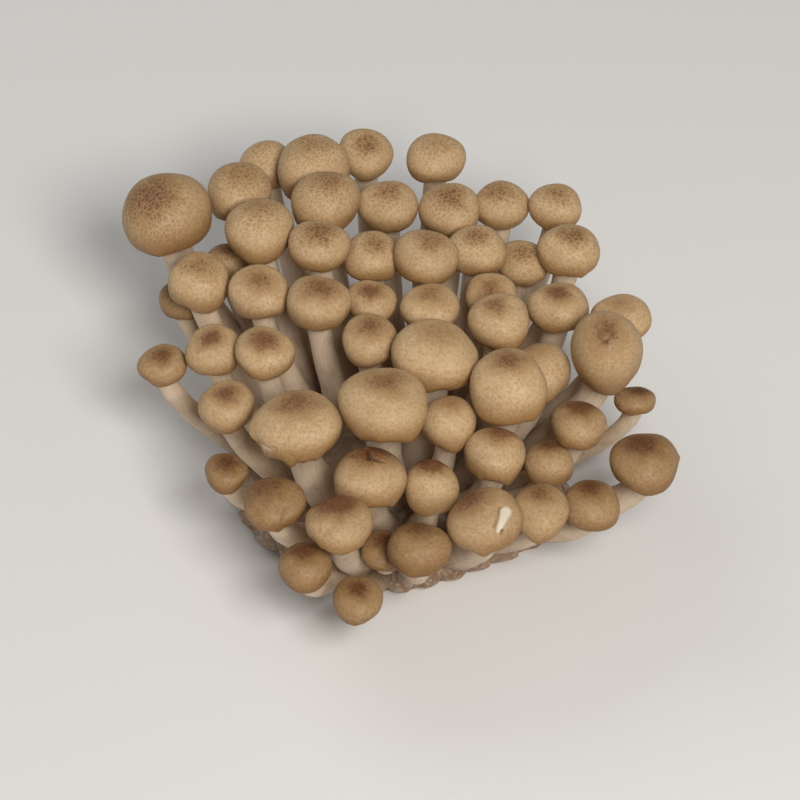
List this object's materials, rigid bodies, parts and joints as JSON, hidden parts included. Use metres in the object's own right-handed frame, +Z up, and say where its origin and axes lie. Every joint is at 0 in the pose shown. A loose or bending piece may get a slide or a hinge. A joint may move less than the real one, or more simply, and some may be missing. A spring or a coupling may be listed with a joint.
{
  "type": "beech mushroom cluster",
  "caption": "Cluster of brown beech mushrooms: domed, gilled tan caps on pale curved stems that grow from one flat-cut foot, standing on its own.",
  "frame": {"origin": "middle of the flat cut face under the foot, which the cluster stands on", "axes": "+Z up out of the cut face towards the caps; +X to the right and -Y towards the viewer of the picture"},
  "size_m": [0.1356, 0.1472, 0.0626],
  "materials": {
    "cap_skin": "dull, velvety tan skin, finely speckled, with a darker brown patch round the crown, and with a pale net over it on the caps at the back",
    "stem_flesh": "smooth, dull off-white flesh with faint lengthwise fibres, greyer and browner towards the foot"
  },
  "bodies": {
    "root": {"stems_and_foot": "stem_flesh", "cap_01": "cap_skin", "cap_02": "cap_skin", "cap_03": "cap_skin", "cap_04": "cap_skin", "cap_05": "cap_skin", "cap_06": "cap_skin", "cap_07": "cap_skin", "cap_08": "cap_skin", "cap_09": "cap_skin", "cap_10": "cap_skin", "cap_11": "cap_skin", "cap_12": "cap_skin", "cap_13": "cap_skin", "cap_14": "cap_skin", "cap_15": "cap_skin", "cap_16": "cap_skin", "cap_17": "cap_skin", "cap_18": "cap_skin", "cap_19": "cap_skin", "cap_20": "cap_skin", "cap_21": "cap_skin", "cap_22": "cap_skin", "cap_23": "cap_skin", "cap_24": "cap_skin", "cap_25": "cap_skin", "cap_26": "cap_skin", "cap_27": "cap_skin", "cap_28": "cap_skin", "cap_29": "cap_skin", "cap_30": "cap_skin", "cap_31": "cap_skin", "cap_32": "cap_skin", "cap_33": "cap_skin", "cap_34": "cap_skin", "cap_35": "cap_skin", "cap_36": "cap_skin", "cap_37": "cap_skin", "cap_38": "cap_skin", "cap_39": "cap_skin", "cap_40": "cap_skin", "cap_41": "cap_skin", "cap_42": "cap_skin", "cap_43": "cap_skin", "cap_44": "cap_skin", "cap_45": "cap_skin", "cap_46": "cap_skin", "cap_47": "cap_skin", "cap_48": "cap_skin", "cap_49": "cap_skin", "cap_50": "cap_skin", "cap_51": "cap_skin", "cap_52": "cap_skin", "cap_53": "cap_skin", "cap_54": "cap_skin", "cap_55": "cap_skin", "cap_56": "cap_skin", "cap_57": "cap_skin", "cap_58": "cap_skin"}
  },
  "joints": []
}
